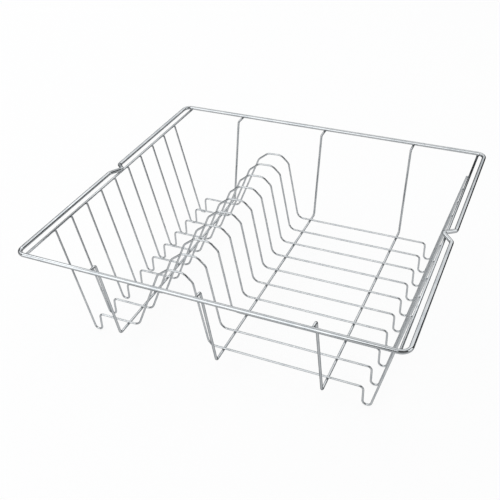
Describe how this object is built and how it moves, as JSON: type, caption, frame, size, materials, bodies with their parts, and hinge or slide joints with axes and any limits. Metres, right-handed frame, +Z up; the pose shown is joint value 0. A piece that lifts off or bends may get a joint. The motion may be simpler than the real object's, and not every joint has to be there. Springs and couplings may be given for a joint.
{
  "type": "dish drainer",
  "caption": "Wire dish drainer: a flared rectangular basket on bent wire feet, with a row of wire hoops that holds plates on edge and an open bay beside it.",
  "frame": {"origin": "on the surface that the feet stand on, under the middle of the rim", "axes": "+X to the right along the long side, +Y to the back, +Z up"},
  "size_m": [0.455, 0.423, 0.1486],
  "materials": {
    "chrome": "bright chrome plating on drawn steel wire"
  },
  "bodies": {
    "root": {"rim": "chrome", "side_rail_left": "chrome", "side_rail_right": "chrome", "cross_wire_left": "chrome", "cross_wire_middle": "chrome", "cross_wire_right": "chrome", "plate_wire_01": "chrome", "plate_wire_02": "chrome", "plate_wire_03": "chrome", "plate_wire_04": "chrome", "plate_wire_05": "chrome", "plate_wire_06": "chrome", "plate_wire_07": "chrome", "plate_wire_08": "chrome", "plate_wire_09": "chrome", "plate_wire_10": "chrome"}
  },
  "joints": []
}
